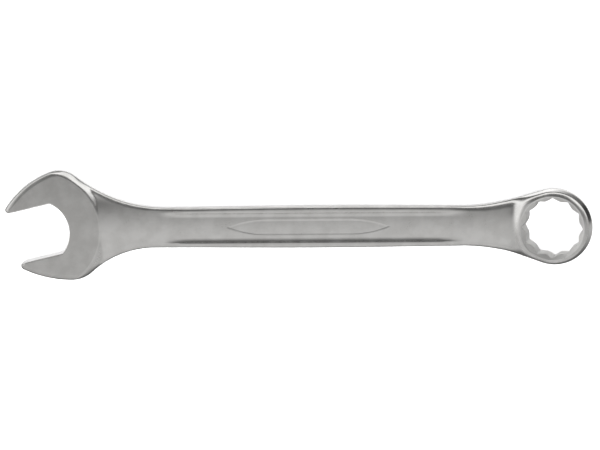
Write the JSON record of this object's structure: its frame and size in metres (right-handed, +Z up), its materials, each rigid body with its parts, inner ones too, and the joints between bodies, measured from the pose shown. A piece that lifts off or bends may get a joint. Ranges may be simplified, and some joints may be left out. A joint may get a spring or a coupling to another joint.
{
  "type": "combination wrench",
  "caption": "Forged steel combination wrench with an angled open jaw, a hollow-faced shank and an offset twelve-point ring.",
  "frame": {"origin": "centre of a nut held in the open jaw, on the plane that the wrench lies on", "axes": "+X along the shank from the open jaw to the ring, +Y across the width, +Z up from the resting plane, which is the nut's axis in the open jaw; the ring's far end is raised towards +Z"},
  "size_m": [0.2746, 0.0516, 0.0218],
  "materials": {
    "plated_steel": "satin"
  },
  "bodies": {
    "root": {"wrench": "plated_steel"}
  },
  "joints": []
}
